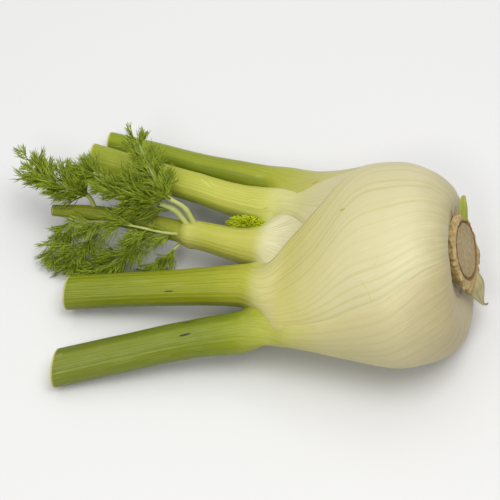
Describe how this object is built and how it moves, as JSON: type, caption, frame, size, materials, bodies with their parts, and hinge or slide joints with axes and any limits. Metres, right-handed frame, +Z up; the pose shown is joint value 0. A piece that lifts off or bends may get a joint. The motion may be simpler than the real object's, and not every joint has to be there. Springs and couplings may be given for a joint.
{
  "type": "fennel bulb",
  "caption": "Florence fennel bulb lying on its side: overlapping pale leaf bases on a cut crown, trimmed green stalks fanned out, and feathery young fronds.",
  "frame": {"origin": "middle of the bounding box's underside, on the surface that the bulb lies on", "axes": "+X towards the cut crown, -X towards the ends of the stalks, +Y across the fan of stalks, +Z up"},
  "size_m": [0.2475, 0.1586, 0.0788],
  "materials": {
    "leaf_outermost": "satin, waxy plant skin",
    "leaf_pale": "satin, waxy plant skin",
    "leaf_green": "satin, waxy plant skin",
    "leaf_second": "satin, waxy plant skin",
    "leaf_heart": "satin, waxy plant skin",
    "cut_crown": "matt, dried cut face",
    "dry_scale": "matt, dry",
    "green_scale": "satin",
    "frond_green": "matt, feathery",
    "bud_green": "matt, feathery"
  },
  "bodies": {
    "root": {"leaf_front": "leaf_outermost", "leaf_face": "leaf_pale", "leaf_back": "leaf_green", "leaf_inner": "leaf_second", "leaf_heart": "leaf_heart", "crown": "cut_crown", "scale_flap": "dry_scale", "scale_sliver": "green_scale", "frond_bud": "bud_green", "frond_plume": "frond_green", "frond_long": "frond_green", "frond_left": "frond_green", "frond_fan": "frond_green", "frond_low": "frond_green", "frond_hanging": "frond_green", "frond_tip": "frond_green"}
  },
  "joints": []
}
